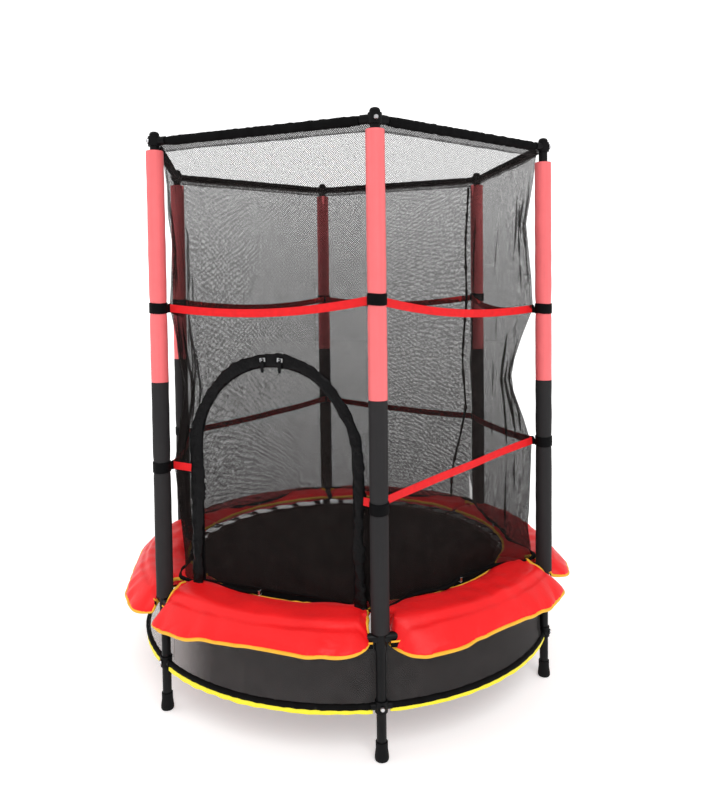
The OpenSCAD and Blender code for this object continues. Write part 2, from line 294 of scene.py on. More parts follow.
def webbing_look(name, color, shine):
    """Woven tape: ribs across and a selvedge along, from the UVs in metres."""
    look = Look(name, color, 0.5, Specular_IOR_Level=shine)
    uv = look.place("UV")
    u, v, _ = look.split(uv)
    ribs = stripe(look, u, 0.0016)
    rows = stripe(look, look.math("ADD", v, look.math("MULTIPLY", u, 0.5)), 0.003)
    look.tint(look.math("MULTIPLY", look.math("ADD", ribs, look.noise(uv, 60, 3)), 0.5), 1.12, 0.75)
    look.bump(look.math("ADD", ribs, rows), 0.0004, 0.6)
    return look.material


def fabric_look(name, color, roughness=0.7, wrinkle=0.5, shine=0.05, shades=(0.7, 1.5)):
    """Plain woven cloth with small puckers."""
    look = Look(name, color, roughness, Specular_IOR_Level=shine)
    place = look.place()
    look.tint(look.noise(place, 35, 4), *shades)
    look.bump(look.noise(place, 90, 4, 0.6), 0.003, wrinkle)
    look.bump(look.cells(place, 900), 0.0003, 0.5)
    return look.material


def net_look(name, color, pitch, opens, along=2, reach=(0.0, 1.6), soft=0.7):
    """Knotted diamond net: threads at both diagonals of the UVs, which are in metres. opens are pairs of a
    place along one axis, within reach, and how far the holes open there, from 0 to 1."""
    look = Look(name, color, 0.8, Specular_IOR_Level=0.06)
    uv = look.place("UV")
    moved = look.node("VectorMath", {"operation": "ADD"})
    look.feed(moved.inputs[0], uv)
    moved.inputs[1].default_value = (3.1, 1.7, 0.0)
    wander = [look.math("MULTIPLY", look.math("SUBTRACT", look.noise(at, 130, 1), 0.5), 0.9 * pitch)
              for at in (uv, moved.outputs[0])]
    u, v = (look.math("ADD", flat, shift) for flat, shift in zip(look.split(uv), wander))
    one = stripe(look, look.math("ADD", u, v), pitch)
    two = stripe(look, look.math("SUBTRACT", u, v), pitch)
    line = look.math("MAXIMUM", one, two)
    span = reach[1] - reach[0]
    where = look.math("DIVIDE", look.math("SUBTRACT", look.split(look.place())[along], reach[0]), span)
    edge = look.ramp(where, [((x - reach[0]) / span, share) for x, share in opens])
    solid = look.math("DIVIDE", look.math("SUBTRACT", line, look.math("SUBTRACT", edge, soft / 2)), soft)
    look.feed(look.shader.inputs["Alpha"], look.node("Clamp", Value=solid).outputs[0])
    look.tint(look.noise(uv, 25, 4), 0.7, 1.5)
    look.bump(line, 0.0006, 0.5)
    return look.material


def mat_look():
    """Black woven mat: a plain weave of flat tapes with a soft sheen."""
    look = Look("mat_weave", (0.0018, 0.0016, 0.0018), 0.6, Specular_IOR_Level=0.03)
    place = look.place()
    x, y, _ = look.split(place)
    weave = look.math("MULTIPLY", stripe(look, x, 0.0032), stripe(look, y, 0.0032))
    cloud = look.math("MULTIPLY", look.noise(place, 7, 4), 0.6)
    look.tint(look.math("ADD", look.math("MULTIPLY", weave, 0.6), cloud), 0.6, 1.9)
    look.bump(weave, 0.0005, 0.7)
    look.bump(look.noise(place, 5, 3), 0.01, 0.25)
    return look.material


STEEL = steel_look()
PLASTIC = plastic_look("black_plastic", (0.005, 0.005, 0.0055), 0.4)
RUBBER = plastic_look("rubber", (0.006, 0.006, 0.0065), 0.6, 700)
ZINC = zinc_look()
CORAL = foam_look("coral_foam", (0.93, 0.165, 0.175), 1.07, 0.42, 0.45)
CHARCOAL = foam_look("charcoal_foam", (0.025, 0.024, 0.025), 1.15, 0.6, 0.10)
COVER = cover_look()
NET_PITCH = 0.0054
NET = net_look("net", (0.0110, 0.0088, 0.0082), NET_PITCH,
               [(0.4, 0.47), (0.7, 0.53), (0.9, 0.57), (1.25, 0.625), (1.42, 0.67), (1.56, 0.685)])
DENSE_NET = net_look("dense_net", (0.030, 0.027, 0.027), NET_PITCH, [(0.4, 0.38), (1.5, 0.38)])
SKIRT = net_look("skirt_mesh", (0.017, 0.0155, 0.0155), 0.0036,
                 [(-0.33, 0.72), (-0.24, 0.60), (-0.12, 0.22), (0.6, 0.16)],
                 along=0, reach=(-0.7, 0.7), soft=0.4)
BLACK = fabric_look("black_fabric", (0.004, 0.004, 0.0042))
SATIN = fabric_look("black_satin", (0.003, 0.003, 0.0033), 0.22, 0.9, shine=0.10)
ORANGE = fabric_look("orange_piping", (0.88, 0.47, 0.04), 0.5, 0.3, 0.18, (0.9, 1.08))
YELLOW = fabric_look("yellow_binding", (0.97, 0.84, 0.045), 0.5, 0.3, 0.18, (0.92, 1.03))
RED_STRAP = webbing_look("red_webbing", (0.85, 0.014, 0.018), 0.2)
BLACK_STRAP = webbing_look("black_webbing", (0.004, 0.004, 0.0045), 0.05)
MAT = mat_look()
THREAD = fabric_look("grey_thread", (0.05, 0.05, 0.052), 0.6, 0.2)


# -------- mesh tools

def polar(radius, degrees, z):
    a = np.radians(degrees)
    return np.stack(np.broadcast_arrays(radius * np.cos(a), radius * np.sin(a), z), -1).astype(float)


def circle(count):
    return np.linspace(0, 2 * np.pi, count, endpoint=False)


def side_point(angle, dist, along, z):
    """Point at a distance out from the centre and along a side, whose middle is at that angle."""
    c, s = math.cos(math.radians(angle)), math.sin(math.radians(angle))
    dist, along, z = np.broadcast_arrays(dist, along, z)
    return np.stack((dist * c - along * s, dist * s + along * c, z), -1)


def side_poles(angle):
    """Names of the uprights at a side's two ends."""
    return [name for step in (-HALF, HALF) for name, a in POLES.items() if (a - angle - step) % 360 == 0]


def unit(v):
    return v / np.maximum(np.linalg.norm(v, axis=-1, keepdims=True), 1e-12)


def ease(x, start=0.0, end=1.0):
    t = np.clip((np.asarray(x, float) - start) / (end - start), 0, 1)
    return t * t * (3 - 2 * t)


def bell(x, centre, width):
    return np.exp(-(((x - centre) / width) ** 2))


def ripple(x, y, seed, size=1.0, waves=7):
    """Smooth repeatable noise from -1 to 1 or so, with features about size across."""
    rng = np.random.default_rng(seed)
    total = 0.0
    for _ in range(waves):
        angle, stretch, phase = rng.uniform(0, 2 * np.pi), rng.uniform(0.6, 1.7), rng.uniform(0, 2 * np.pi)
        total = total + np.sin(2 * np.pi * stretch / size * (x * np.cos(angle) + y * np.sin(angle)) + phase)
    return total / math.sqrt(waves)


def new_mesh(name, points, faces, look, uv=None):
    mesh = bpy.data.meshes.new(name)
    mesh.from_pydata(points.tolist(), [], faces)
    if uv is not None:
        layer = mesh.uv_layers.new(name="UVMap")
        layer.data.foreach_set("uv", np.asarray(uv, np.float32).ravel())
    mesh.materials.append(look)
    mesh.shade_smooth()
    mesh.update()
    made = bpy.data.objects.new(name, mesh)
    scene.collection.objects.link(made)
    return made


def lengths(points, axis, closed):
    """Distance along a grid of points to each of its rows or columns, as a mean of the others."""
    step = np.linalg.norm(np.diff(points, axis=axis), axis=-1).mean(axis=1 - axis)
    if closed:
        last = np.take(points, 0, axis) - np.take(points, -1, axis)
        step = np.append(step, np.linalg.norm(last, axis=-1).mean())
    return np.concatenate([[0], np.cumsum(step)])


def surface(name, points, look, closed_i=False, closed_j=False, caps=False, keep=None):
    """A mesh over a grid of points [i, j], with UVs in metres. caps closes the ends of a tube round in j."""
    ni, nj = points.shape[:2]
    i, j = np.meshgrid(np.arange(ni - (not closed_i)), np.arange(nj - (not closed_j)), indexing="ij")
    i, j = i.ravel(), j.ravel()
    if keep is not None:
        chosen = keep(points[i, j], points[(i + 1) % ni, (j + 1) % nj])
        i, j = i[chosen], j[chosen]
    u, v = lengths(points, 0, closed_i), lengths(points, 1, closed_j)
    faces, uv = [], []
    for a, b in ((0, 0), (1, 0), (1, 1), (0, 1)):
        faces.append(((i + a) % ni) * nj + (j + b) % nj)
        uv.append(np.stack((u[i + a], v[j + b]), -1))
    faces = np.stack(faces, -1)
    uv = np.stack(uv, 1).reshape(-1, 2)
    flat = points.reshape(-1, 3)
    used, faces = np.unique(faces, return_inverse=True)
    faces = faces.reshape(-1, 4).tolist()
    if caps:
        faces += [list(range(nj))[::-1], list(range((ni - 1) * nj, ni * nj))]
        uv = np.concatenate([uv, np.zeros((2 * nj, 2))])
    return new_mesh(name, flat[used], faces, look, uv)


def outline(width, height, count=16, square=1.0):
    """Closed outline about the origin: an ellipse at square 1, nearer a rounded box as square falls."""
    t = circle(count)
    x, y = (np.sign(wave) * np.abs(wave) ** square for wave in (np.cos(t), np.sin(t)))
    return np.stack((width / 2 * x, height / 2 * y), -1)


def sweep(name, path, shape, facing, look, closed=False):
    """A tube of an outline [k, 2] or [i, k, 2] carried along a path; its first axis lies along facing."""
    path = np.asarray(path, float)
    ahead = unit(np.roll(path, -1, 0) - np.roll(path, 1, 0) if closed else np.gradient(path, axis=0))
    first = np.broadcast_to(np.asarray(facing, float), path.shape)
    first = unit(first - (first * ahead).sum(-1, keepdims=True) * ahead)
    second = np.cross(ahead, first)
    shape = np.broadcast_to(shape, (len(path), *np.shape(shape)[-2:]))
    points = path[:, None] + shape[..., :1] * first[:, None] + shape[..., 1:] * second[:, None]
    return surface(name, points, look, closed_i=closed, closed_j=True, caps=not closed)


def resample(path, count, closed=False):
    path = np.asarray(path, float)
    if closed:
        path = np.concatenate([path, path[:1]])
    run = np.concatenate([[0], np.cumsum(np.linalg.norm(np.diff(path, axis=0), axis=-1))])
    at = np.linspace(0, run[-1], count, endpoint=not closed)
    return np.stack([np.interp(at, run, path[:, k]) for k in range(3)], -1)


def smooth(path, passes=2, closed=False):
    """Rounds a path's corners by averaging neighbours."""
    for _ in range(passes):
        before, after = np.roll(path, 1, 0), np.roll(path, -1, 0)
        mean = (before + 2 * path + after) / 4
        if not closed:
            mean[0], mean[-1] = path[0], path[-1]
        path = mean
    return path


def join(name, parts):
    """One object from several, with their materials."""
    with bpy.context.temp_override(active_object=parts[0], selected_editable_objects=parts):
        bpy.ops.object.join()
    parts[0].name = name
    parts[0].data.name = name
    return parts[0]


def piece(obj, body, slot_name, *stands_for):
    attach(obj, body)
    if stands_for:
        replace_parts(obj, *stands_for)
    return obj


# -------- hard parts, straight from the CAD

def dress_cad():
    looks = {"leg": STEEL, "post": STEEL, "frame": STEEL, "lower_rods": STEEL, "top_rods": STEEL,
             "lower_connectors": PLASTIC, "top_connectors": PLASTIC, "post_caps": PLASTIC, "screws": ZINC,
             "rubber": RUBBER, "zip_slider": ZINC, "zip_pull": PLASTIC}
    for name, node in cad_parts.items():
        found = [look for key, look in looks.items() if name.startswith(key)]
        if not found:
            continue
        node.data.materials.clear()
        node.data.materials.append(found[-1])


dress_cad()


# -------- foam sleeves

def foam_sleeve(kind, pole, angle, look, seed, dent):
    """Hollow foam tube with soft cut ends; dent is the height where a strap squeezes it."""
    node = f"{kind}_sleeve_{pole}"
    z0, z1 = low(node).z, high(node).z
    wall = SLEEVE_R - TUBE_R - 0.0004
    soft = 0.0012
    rows = np.linspace(z0 + soft, z1 - soft, 70)
    arc = np.linspace(0, np.pi / 2, 5)
    outer = [(SLEEVE_R, z) for z in rows]
    top = [(SLEEVE_R - soft + soft * math.cos(t), z1 - soft + soft * math.sin(t)) for t in arc[1:]]
    inner = [(SLEEVE_R - wall, z1), (SLEEVE_R - wall, z0)]
    bottom = [(SLEEVE_R - soft + soft * math.cos(t), z0 + soft - soft * math.sin(t)) for t in arc[:0:-1]]
    line = np.array(outer + top + inner + bottom)
    turn = circle(40)
    r, z = line[:, None, 0], line[:, None, 1]
    skin = ease(r, SLEEVE_R - 0.004, SLEEVE_R - 0.001)
    bumps = 0.00025 * ripple(np.cos(turn) * 0.05 + z * 0.4, np.sin(turn) * 0.05 + z, seed, 0.09)
    r = r + skin * (bumps - 0.0022 * bell(z, dent, 0.02))
    sway = 0.0005 * np.sin(z * 4 + seed)
    centre = polar(POLE_R, angle, 0.0)
    points = np.stack((centre[0] + r * np.cos(turn) + sway, centre[1] + r * np.sin(turn) - sway,
                       np.broadcast_to(z, r.shape)), -1)
    made = surface(f"foam_{kind}_{pole}", points, look, closed_i=True, closed_j=True)
    return made


STRAP_TIES = {  # heights of the two strap loops on each upright, as pushed on by hand
    "front_right": (STRAP_Z + 0.016, LOW_STRAP_Z - 0.056), "right": (STRAP_Z - 0.022, LOW_STRAP_Z + 0.024),
    "back_right": (STRAP_Z + 0.007, LOW_STRAP_Z - 0.005), "back_left": (STRAP_Z + 0.005, LOW_STRAP_Z + 0.036),
    "left": (STRAP_Z, LOW_STRAP_Z - 0.022), "front_left": (STRAP_Z - 0.004, LOW_STRAP_Z - 0.003),
}


def make_sleeves():
    kinds = (("upper", CORAL, "coral_foam"), ("lower", CHARCOAL, "charcoal_foam"))
    for number, (pole, angle) in enumerate(POLES.items()):
        for (kind, look, slot_name), dent in zip(kinds, STRAP_TIES[pole]):
            sleeve = foam_sleeve(kind, pole, angle, look, 10 + number, dent)
            piece(sleeve, "frame", slot_name, f"{kind}_sleeve_{pole}")


make_sleeves()


# -------- pads

PLAIN_ENDS = (0.06, 0.06)  # how round a pad's two outer corners are
PAD_ENDS = {"front_right": (0.105, 0.048), "front": (0.052, 0.088)}


def pad_place(angle, across, out, droop, first_round, last_round):
    """Point on the top of a pad: across from -1 to 1 between its side edges, out from 0 at the mat to 1."""
    across, out = np.broadcast_arrays(across, out)
    edge_r = PAD_R + out * (PAD_FLAT - PAD_R)
    gap = 0.004 + 0.0225 * ease(edge_r, 0.592, 0.622)
    half = np.radians(HALF) - np.arcsin(gap / edge_r)
    turn = across * half
    rim = np.minimum(PAD_FLAT / np.cos(turn), PAD_CORNER)
    rounding = np.where(across < 0, first_round, last_round)
    t = np.clip((np.abs(turn) * rim - (half * rim - rounding)) / rounding, 0, 1)
    rim = rim - rounding * (1 - np.sqrt(np.maximum(0, 1 - t * t))) * 0.85
    r = PAD_R + out * (rim - PAD_R)
    crown = np.interp(r, [PAD_R, 0.53, 0.57, 0.62, 0.65], [-0.006, 0.0, 0.002, 0.001, -0.003])
    flap = np.clip((r - POLE_R + 0.01) / (rim - POLE_R + 0.01), 0, 1)
    fall = crown - 0.058 * np.interp(flap, [0, 0.15, 0.35, 0.65, 1.0], [0, 0.06, 0.22, 0.58, 1.0])
    sag = droop * ease(flap)
    crease = 0.0075 * bell(r, POLE_R + 0.004 + 0.012 * across ** 2, 0.007) * ease(1 - np.abs(across), 0, 0.2)
    return side_point(angle, r * np.cos(turn), r * np.sin(turn), PAD_Z + fall - sag - crease), r, turn


def pad_points(angle, seed, droop, ends):
    """Grids of a pad's top and underside; droop is how far its outer edge hangs at its ends and middle."""
    out = np.linspace(0, 1, 34)[None, :]
    across = np.linspace(-1, 1, 66)[:, None]
    top, r, turn = pad_place(angle, across, out, np.interp(across, [-1, 0, 1], droop), *ends)
    arc = turn * r
    flap = ease(r, 0.635, 0.70)
    folds = 0.0034 * flap * ripple(arc, r * 0.25, seed, 0.08) + 0.0014 * ripple(arc, r, seed + 1, 0.10)
    hem = ease(out, 0, 0.04) * ease(1 - out, 0, 0.04) * ease(1 - np.abs(across), 0, 0.03)
    thick = 0.007 + (0.011 - 0.005 * flap) * hem
    top[..., 2] += folds * (0.3 + 0.7 * hem)
    normal = unit(np.cross(np.gradient(top, axis=0), np.gradient(top, axis=1)))
    normal *= np.sign(normal[..., 2:].mean())
    bottom = top - normal * thick[..., None]
    return top, bottom


def shell(name, top, bottom, look):
    """Closed piece between two grids of the same size, which need not share a rim."""
    ni, nj = top.shape[:2]
    count = ni * nj
    number = np.arange(count).reshape(ni, nj)
    quads = np.stack((number[:-1, :-1], number[1:, :-1], number[1:, 1:], number[:-1, 1:]), -1).reshape(-1, 4)
    rim = np.concatenate((number[:-1, 0], number[-1, :-1], number[:0:-1, -1], number[0, :0:-1]))
    after = np.roll(rim, -1)
    sides = np.stack((rim, after, after + count, rim + count), -1)
    faces = np.concatenate((quads[:, ::-1], quads + count, sides)).tolist()
    return new_mesh(name, np.concatenate((top.reshape(-1, 3), bottom.reshape(-1, 3))), faces, look)


def settle(obj):
    """Applies every modifier of a piece."""
    made = bpy.data.meshes.new_from_object(obj.evaluated_get(bpy.context.evaluated_depsgraph_get()))
    obj.modifiers.clear()
    obj.data = made
    made.shade_smooth()


def vertices(mesh):
    co = np.zeros(len(mesh.vertices) * 3, np.float32)
    mesh.vertices.foreach_get("co", co)
    return co.reshape(-1, 3).astype(float)


def puff(objects, pressure, cap, frames=20):
    """Swells closed soft pieces with one cloth simulation; no point moves further than cap."""
    rest = {obj: vertices(obj.data) for obj in objects}
    for obj in objects:
        cloth = obj.modifiers.new("cloth", "CLOTH")
        for setting, value in {"quality": 4, "mass": 0.3, "tension_stiffness": 12, "shear_stiffness": 5,
                               "compression_stiffness": 12, "bending_stiffness": 0.4, "use_pressure": True,
                               "uniform_pressure_force": pressure}.items():
            setattr(cloth.settings, setting, value)
        cloth.settings.effector_weights.gravity = 0
        cloth.collision_settings.use_collision = False
        cloth.point_cache.frame_end = frames
    for number in range(1, frames + 1):
        scene.frame_set(number)
    graph = bpy.context.evaluated_depsgraph_get()
    swollen = {obj: vertices(obj.evaluated_get(graph).to_mesh()) for obj in objects}
    for obj in objects:
        obj.modifiers.clear()
        move = swollen[obj] - rest[obj]
        far = np.linalg.norm(move, axis=-1, keepdims=True)
        move *= np.minimum(1, cap / np.maximum(far, 1e-9))
        obj.data.vertices.foreach_set("co", (rest[obj] + move).astype(np.float32).ravel())
        obj.data.update()
    scene.frame_set(1)


PAD_DROOP = {  # how far each pad's outer edge hangs at one end, the middle and the other end
    "front_right": (0.010, 0.002, 0.006), "back_right": (0.0, 0.004, 0.012), "back": (0.004, 0.0, 0.004),
    "back_left": (0.006, 0.0, 0.004), "front_left": (0.006, 0.008, 0.020), "front": (0.018, 0.0, -0.008),
}
PIPED_ROW = 17  # the row of a pad's grid where it parts from its neighbour and its side edge shows piping


def make_pads():
    pads = []
    for number, (panel, angle) in enumerate(PANELS.items()):
        ends = PAD_ENDS.get(panel, PLAIN_ENDS)
        top, bottom = pad_points(angle, 40 + 3 * number, PAD_DROOP[panel], ends)
        pad = shell(f"pad_cover_{panel}", top, bottom, COVER)
        edge = (top + bottom) / 2
        edge[..., 2] += 0.001
        outer = np.concatenate((edge[0, PIPED_ROW:-1], edge[:-1, -1], edge[-1, :PIPED_ROW - 1:-1]))
        pads.append((pad, panel, (outer, edge[:, 0])))
    for pad, _, _ in pads:
        voxels = pad.modifiers.new("voxels", "REMESH")
        voxels.mode = "VOXEL"
        voxels.voxel_size = 0.0055
        settle(pad)
    puff([pad for pad, _, _ in pads], 4.0, 0.007)
    for pad, panel, rims in pads:
        cords = []
        for rim in rims:
            near = [pad.closest_point_on_mesh(Vector(p))[1] for p in resample(rim, 220)]
            line = smooth(np.array(near), 6)
            cords.append(sweep("cord", line, outline(0.0090, 0.0090, 10), (0, 0, 1), ORANGE))
        piece(join(f"pad_piping_{panel}", cords), "frame", "yellow_binding")
        finer = pad.modifiers.new("finer", "SUBSURF")
        finer.levels = finer.render_levels = 1
        piece(pad, "frame", "red_cover", f"pad_{panel}")


make_pads()


# -------- net enclosure

def slack(foot, low_tie, between, high_tie, above):
    """How far a corner of the net stands inside its own line, by height: out at its ties, slack between."""
    return ((0.36, foot), (low_tie, -0.012), (0.90, between), (high_tie, -0.014), (1.36, above),
            (1.58, 0.012))


CORNERS = {
    "right": ((0.36, 0.008), (0.50, -0.006), (0.70, -0.014), (0.78, 0.010), (0.90, 0.054), (1.02, 0.016),
              (1.11, -0.018), (1.20, -0.008), (1.36, 0.022), (1.48, 0.014), (1.58, 0.012)),
    "front_right": slack(0.010, 0.64, 0.016, 1.14, 0.014),
    "back_right": slack(0.008, 0.69, 0.014, 1.13, 0.012),
    "back_left": slack(0.008, 0.72, 0.010, 1.13, 0.010),
    "left": slack(0.012, 0.67, 0.022, 1.13, 0.018),
    "front_left": slack(0.020, 0.69, 0.030, 1.13, 0.020),
}
PULL = 0.014  # how far the loops pull the straps and the net's corners out to the uprights
PULL_REACH = 0.085  # how far along the cloth that shows
NET_STEP = 0.008  # spacing of the net's grid of points


def net_distance(z):
    t = (z - LEAN_Z) / (NET_HIGH - LEAN_Z)
    return NET_D + (NET_TOP_D - NET_D) * (t + np.sqrt(t * t + 0.02)) / 2


def hem_drift(turn):
    """How far the hem lies outside the net's own line, round the bed; it is pushed about by hand."""
    a = np.radians(turn)
    return (0.006 - 0.020 * np.sin(a + 2.9) + 0.012 * np.sin(6 * a + 0.6) + 0.010 * np.sin(11 * a + 1.3)
            + 0.006 * np.sin(17 * a + 0.4))


def fold_shift(s, z, folds):
    """Sideways and outward shifts of pleats; each is (place, width, depth, low, high, slant)."""
    along, outward = 0.0, 0.0
    for place, width, depth, z_low, z_high, slant in folds:
        centre = place + slant * (z - (z_low + z_high) / 2)
        t = (s - centre) / width
        strength = ease(z, z_low, z_low + 0.12) * ease(-z, -z_high, -z_high + 0.12)
        window = np.where(np.abs(t) < 1, np.cos(np.clip(t, -1, 1) * np.pi / 2) ** 2, 0) * strength
        along = along - depth * np.sin(2 * np.pi * t) * window
        outward = outward + 0.8 * depth * np.cos(2 * np.pi * t) * window
    return along, outward


def net_points(panel, angle, z_low, z_high, step, folds, seed):
    """Grid of points of one side of the net, from its right corner to its left one seen from inside."""
    start, end = (CORNERS[pole] for pole in side_poles(angle))
    width = 2 * NET_D * TAN_HALF
    rows = np.linspace(z_low, z_high, int((z_high - z_low) / step) + 1)[None, :]
    columns = np.linspace(0, 1, int(width / step) + 1)[:, None]
    z = np.broadcast_to(rows, (columns.shape[0], rows.shape[1]))
    dist = net_distance(z)
    half = dist * TAN_HALF
    along = (2 * columns - 1) * half
    for corner, away, sign in ((start, columns * width, -1), (end, (1 - columns) * width, 1)):
        inset = np.interp(rows, *np.array(corner).T)
        pull = inset * np.exp(-(away / PULL_REACH) ** 1.5)
        dist = dist - pull * COS_HALF
        along = along - sign * pull * SIN_HALF
    calm = ease(columns, 0, 0.05) * ease(1 - columns, 0, 0.05)
    tight = 1 - 0.8 * bell(z, STRAP_Z, 0.06) - 0.8 * bell(z, LOW_STRAP_Z, 0.06) * (panel != "front")
    dist = dist - 0.006 * calm * np.sin(np.pi * columns) * tight
    dist = dist + 0.0028 * calm * ripple(along, z * 0.5, seed, 0.16) * tight
    dist = dist + 0.0007 * calm * ripple(along, z * 0.35, seed + 1, 0.05) * tight
    sideways, outward = fold_shift(columns * width, z, folds)
    along = along + sideways * calm
    dist = dist + outward * calm * tight
    flare = ease(-z, -(NET_LOW + 0.11), -NET_LOW)
    turn = angle + np.degrees(np.arctan2(along, dist))
    dist = dist + flare * hem_drift(turn)
    return side_point(angle, dist, along, z)


def mean_flat(points):
    """Flat size of a sheet: how far it is along its grid, each way, as a mean."""
    return tuple(float(lengths(points, axis, False)[-1]) for axis in (0, 1))


NET_FOLDS = {
    "front_right": ((0.495, 0.030, 0.010, 0.40, 1.10, 0.03), (0.535, 0.022, 0.008, 0.45, 1.02, 0.02),
                    (0.450, 0.020, 0.006, 0.62, 1.30, 0.05), (0.555, 0.020, 0.007, 1.15, 1.50, -0.03)),
    "back_right": ((0.040, 0.028, 0.010, 1.12, 1.53, 0.05), (0.085, 0.022, 0.008, 1.00, 1.52, 0.09),
                   (0.135, 0.018, 0.006, 1.14, 1.50, 0.02), (0.060, 0.026, 0.010, 0.62, 1.06, -0.06),
                   (0.110, 0.020, 0.007, 0.45, 0.98, 0.05), (0.300, 0.016, 0.005, 1.15, 1.50, 0.01),
                   (0.400, 0.014, 0.0045, 1.12, 1.45, 0.02), (0.550, 0.018, 0.007, 0.42, 1.50, 0.0)),
    "back": ((0.040, 0.016, 0.006, 0.42, 1.50, 0.0), (0.545, 0.016, 0.005, 0.5, 1.4, 0.0)),
    "back_left": ((0.050, 0.018, 0.006, 0.45, 1.45, 0.01), (0.540, 0.020, 0.007, 0.40, 1.48, 0.0)),
    "front_left": ((0.040, 0.024, 0.009, 0.40, 1.45, 0.01), (0.085, 0.020, 0.007, 0.42, 1.10, 0.03),
                   (0.500, 0.026, 0.010, 0.40, 1.50, 0.02), (0.540, 0.022, 0.008, 0.42, 1.30, 0.0),
                   (0.445, 0.018, 0.006, 0.42, 1.05, -0.04)),
    "front": ((0.030, 0.022, 0.009, 0.40, 1.45, 0.01), (0.060, 0.020, 0.008, 0.40, 1.30, 0.03),
              (0.560, 0.016, 0.005, 0.40, 1.10, 0.0)),
}


def arch_size(points):
    """Radius, or half width, of the door-shaped arch on which each point lies."""
    x, z = points[..., 0] - DOOR_X, points[..., 2] - ARCH_Z
    return np.where(z > 0, np.hypot(x, z), np.abs(x))


def to_arch(points, radius, at_least, at_most):
    """Moves the points on arches between two sizes onto the arch of the radius given."""
    size = arch_size(points)
    scale = np.where((size > at_least) & (size < at_most), radius / np.maximum(size, 1e-6), 1.0)
    x, z = points[..., 0] - DOOR_X, points[..., 2] - ARCH_Z
    points[..., 0] = DOOR_X + x * scale
    points[..., 2] = np.where(z > 0, ARCH_Z + z * scale, points[..., 2])
    return points


def make_net():
    for number, (panel, angle) in enumerate(PANELS.items()):
        seed = 70 + 5 * number
        points = net_points(panel, angle, NET_LOW - 0.006, TOP_Z - 0.022, NET_STEP, NET_FOLDS[panel], seed)
        keep = None
        area = None
        if panel == "front":
            points = to_arch(points, ARCH_R, ARCH_R - NET_STEP / 2, ARCH_R + NET_STEP / 2)

            def keep(a, b):
                return arch_size((a + b) / 2) > ARCH_R

            area = 0.76 * mean_flat(points)[0] * mean_flat(points)[1]
        made = surface(f"net_side_{panel}", points, NET, keep=keep)
        piece(made, "frame", "net", f"net_{panel}")
        mean_flat(points)


make_net()


# -------- straps and their loops

STRAP_HALF = NET_D * TAN_HALF + 0.002  # half a strap's length on one side


def hang(start, end, sag, count):
    t = np.linspace(0, 1, count)[:, None]
    path = (1 - t) * np.asarray(start) + t * np.asarray(end)
    path[:, 2] -= sag * 4 * t[:, 0] * (1 - t[:, 0])
    return path


def strap(name, angle, heights, sag, part=(0.0, 1.0), seed=0):
    """Webbing just outside one side of the net, between the heights of its two corners."""
    dist = NET_D + 0.0028
    half = STRAP_HALF
    run = np.linspace(part[0], part[1], 60)
    z = heights[0] + (heights[1] - heights[0]) * run - sag * 4 * run * (1 - run)
    along = (2 * run - 1) * half
    out = dist + 0.0012 * np.sin(along * 23 + seed) * np.sin(np.pi * run)
    for end, sign in ((0.0, -1), (1.0, 1)):
        pull = PULL * np.exp(-(np.abs(run - end) * 2 * half / PULL_REACH) ** 1.5)
        out = out + pull * COS_HALF
        along = along + sign * pull * SIN_HALF
    path = side_point(angle, out, along, z)
    facing = np.array([0.0, 0.0, 1.0]) + 0.05 * np.sin(along * 15 + seed)[:, None] * polar(1.0, angle, 0.0)
    return sweep(name, path, outline(STRAP_W, 0.002, 12, 0.35), facing, RED_STRAP)


def make_straps():
    for level, node in ((0, "upper_strap"), (1, "lower_strap")):
        made = []
        for number, (panel, angle) in enumerate(PANELS.items()):
            ends = [STRAP_TIES[pole][level] for pole in side_poles(angle)]
            if level == 1 and panel == "front":
                gap = (ARCH_R + 0.012) / (2 * STRAP_HALF)
                left, right = (0.5 + DOOR_X / (2 * STRAP_HALF) + side * gap for side in (-1, 1))
                made.append(strap(f"{node}_front_a", angle, ends, 0.0, (0.0, left), number))
                made.append(strap(f"{node}_front_b", angle, ends, 0.0, (right, 1.0), number))
                continue
            sag = 0.024 if level == 0 else 0.004
            made.append(strap(f"{node}_{panel}", angle, ends, sag, seed=number))
        for obj in made:
            piece(obj, "frame", "red_webbing")
        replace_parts(made[0], node)


def tie_loop(pole, angle, z, index):
    """Webbing loop round a sleeve, with a tab to the net's corner."""
    centre = polar(POLE_R, angle, z)
    turn = circle(48)
    r = SLEEVE_R + 0.0002 + 0.0004 * np.sin(3 * turn + index)
    path = centre + np.stack((r * np.cos(turn), r * np.sin(turn), 0.0012 * np.sin(2 * turn + index)), -1)
    ring = sweep("ring", path, outline(0.029, 0.0026, 12, 0.35), (0, 0, 1), BLACK_STRAP, closed=True)
    corner = NET_D / COS_HALF + PULL
    start = polar(corner + 0.001, angle, z)
    end = polar(POLE_R - SLEEVE_R - 0.0005, angle, z)
    tab = sweep("tab", hang(start, end, 0.001, 8), outline(0.024, 0.003, 12, 0.35), (0, 0, 1), BLACK_STRAP)
    knot = sweep("knot", hang(start + (0, 0, 0.012), start - (0, 0, 0.012), 0, 6), outline(0.008, 0.008, 10),
                 polar(1.0, angle, 0.0), BLACK)
    return join(f"strap_loop_{pole}_{index}", [ring, tab, knot])


def make_loops():
    loops = []
    for pole, angle in POLES.items():
        for index, z in enumerate(STRAP_TIES[pole]):
            loops.append(piece(tie_loop(pole, angle, z, index), "frame", "black_fabric"))
    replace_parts(loops[0], "strap_loops")


make_straps()
make_loops()


# -------- top hem, bottom hem

def puckered(run, radius, depth, count, seed, wide, high):
    """Round outline at each point of a run, with small puckers."""
    turn = circle(count)
    r = radius[:, None] + depth * ripple(run[:, None], turn[None, :] * 0.01, seed, 0.03)
    return np.stack((r * np.cos(turn) * wide, r * np.sin(turn) * high), -1)


